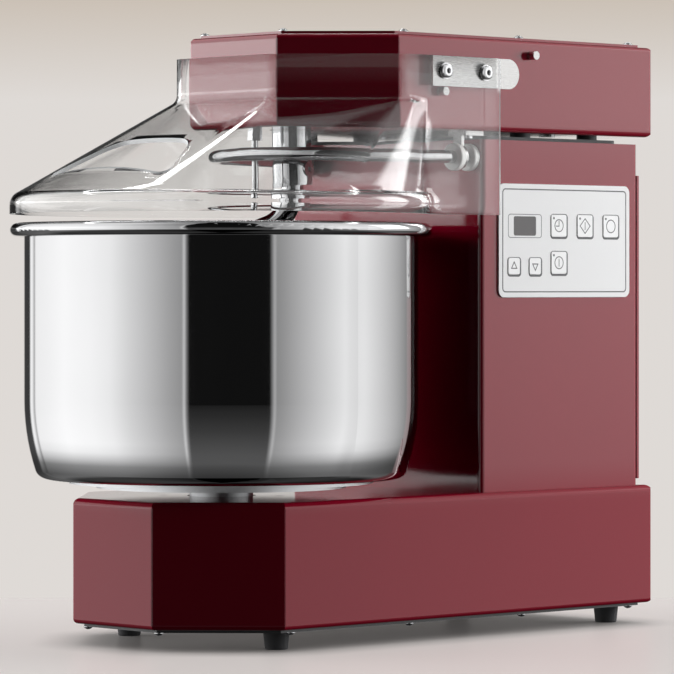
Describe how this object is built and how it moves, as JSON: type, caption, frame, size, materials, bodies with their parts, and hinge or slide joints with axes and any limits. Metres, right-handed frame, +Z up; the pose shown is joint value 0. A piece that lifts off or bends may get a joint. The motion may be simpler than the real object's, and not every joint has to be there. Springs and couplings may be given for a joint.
{
  "type": "table-top spiral dough mixer",
  "caption": "Table-top spiral dough mixer: painted sheet-steel body, turning steel bowl, belt-driven kneading spiral, hinged clear guard and side key panel.",
  "frame": {"origin": "on the table, at the middle of the machine's footprint", "axes": "+Z up, -Y towards the bowl and the front of the guard, +X towards the control panel"},
  "size_m": [0.32, 0.534, 0.462],
  "materials": {
    "burgundy_paint": "gloss",
    "black_paint": "satin",
    "black_rubber": "matte",
    "black_plastic": "matte",
    "polished_steel": "polished",
    "satin_steel": "satin",
    "screw_steel": "zinc plated",
    "cast_aluminium": "satin",
    "grey_iron": "matte",
    "clear_plastic": "clear",
    "white_plastic": "satin",
    "panel_grey": "satin",
    "key_grey": "satin",
    "dark_window": "gloss",
    "board_green": "satin"
  },
  "bodies": {
    "frame": {"base_belt": "black_rubber", "base_housing": "burgundy_paint", "bearing_bolts": "screw_steel", "bottom_plate": "black_paint", "bottom_plate_screws": "screw_steel", "bowl_bearing_housing": "grey_iron", "bowl_bearings": "satin_steel", "column_bolts": "screw_steel", "column_shell": "burgundy_paint", "control_board": "board_green", "control_panel": "panel_grey", "cord_gland": "black_plastic", "display_module": "dark_window", "display_window": "dark_window", "guard_switch": "black_plastic", "hanger_screws": "screw_steel", "head_belt": "black_rubber", "head_bolts": "screw_steel", "head_housing": "burgundy_paint", "head_spacers": "black_plastic", "hoop": "polished_steel", "hoop_bushes": "white_plastic", "hoop_hangers": "satin_steel", "key_switches": "black_plastic", "motor_bolts": "screw_steel", "motor_housing": "cast_aluminium", "motor_plate": "black_paint", "pivot_bushes": "white_plastic", "rear_cover": "burgundy_paint", "rear_cover_screws": "screw_steel", "rubber_feet": "black_rubber", "spiral_bearing_housing": "grey_iron", "spiral_bearings": "satin_steel", "stop_pins": "satin_steel", "stripper_nut": "screw_steel", "stripper_rod": "polished_steel", "top_cover": "burgundy_paint", "top_cover_screws": "screw_steel"},
    "guard": {"guard": "clear_plastic", "guard_brackets": "satin_steel", "guard_screws": "screw_steel", "pivot_pins": "satin_steel"},
    "bowl": {"bowl": "polished_steel", "bowl_screws": "screw_steel", "turntable": "cast_aluminium", "bowl_shaft": "satin_steel", "bowl_pulley": "cast_aluminium"},
    "spiral": {"spiral_shaft": "polished_steel", "spiral_hook": "polished_steel", "clamp_screw": "screw_steel", "spiral_pulley": "cast_aluminium"},
    "motor_rotor": {"motor_shaft": "satin_steel", "motor_head_pulley": "cast_aluminium", "motor_base_pulley": "cast_aluminium"},
    "timer_key": {"timer_key": "key_grey"},
    "start_key": {"start_key": "key_grey"},
    "stop_key": {"stop_key": "key_grey"},
    "power_key": {"power_key": "key_grey"},
    "up_key": {"up_key": "key_grey"},
    "down_key": {"down_key": "key_grey"}
  },
  "joints": [
    {"name": "guard_hinge", "type": "hinge", "parent": "frame", "child": "guard", "pos_m": [0, 0.0803, 0.4302], "axis": [-1, 0, 0], "range_deg": [0, 128]},
    {"name": "bowl_spin", "type": "hinge", "parent": "frame", "child": "bowl", "pos_m": [0, -0.107, 0.1162], "axis": [0, 0, 1], "continuous": true},
    {"name": "spiral_spin", "type": "hinge", "parent": "frame", "child": "spiral", "pos_m": [0, -0.035, 0.3863], "axis": [0, 0, 1], "continuous": true},
    {"name": "motor_spin", "type": "hinge", "parent": "frame", "child": "motor_rotor", "pos_m": [0, 0.1545, 0.3805], "axis": [0, 0, 1], "continuous": true},
    {"name": "timer_key_travel", "type": "slide", "parent": "frame", "child": "timer_key", "axis": [-1, 0, 0], "range_m": [0, 0.0008], "stiffness_N_per_m": 300},
    {"name": "start_key_travel", "type": "slide", "parent": "frame", "child": "start_key", "axis": [-1, 0, 0], "range_m": [0, 0.0008], "stiffness_N_per_m": 300},
    {"name": "stop_key_travel", "type": "slide", "parent": "frame", "child": "stop_key", "axis": [-1, 0, 0], "range_m": [0, 0.0008], "stiffness_N_per_m": 300},
    {"name": "power_key_travel", "type": "slide", "parent": "frame", "child": "power_key", "axis": [-1, 0, 0], "range_m": [0, 0.0008], "stiffness_N_per_m": 300},
    {"name": "up_key_travel", "type": "slide", "parent": "frame", "child": "up_key", "axis": [-1, 0, 0], "range_m": [0, 0.0008], "stiffness_N_per_m": 300},
    {"name": "down_key_travel", "type": "slide", "parent": "frame", "child": "down_key", "axis": [-1, 0, 0], "range_m": [0, 0.0008], "stiffness_N_per_m": 300}
  ],
  "couplings": [
    {"joint": "spiral_spin", "follows": "bowl_spin", "ratio": 4.75},
    {"joint": "motor_spin", "follows": "bowl_spin", "ratio": 7.9167}
  ]
}
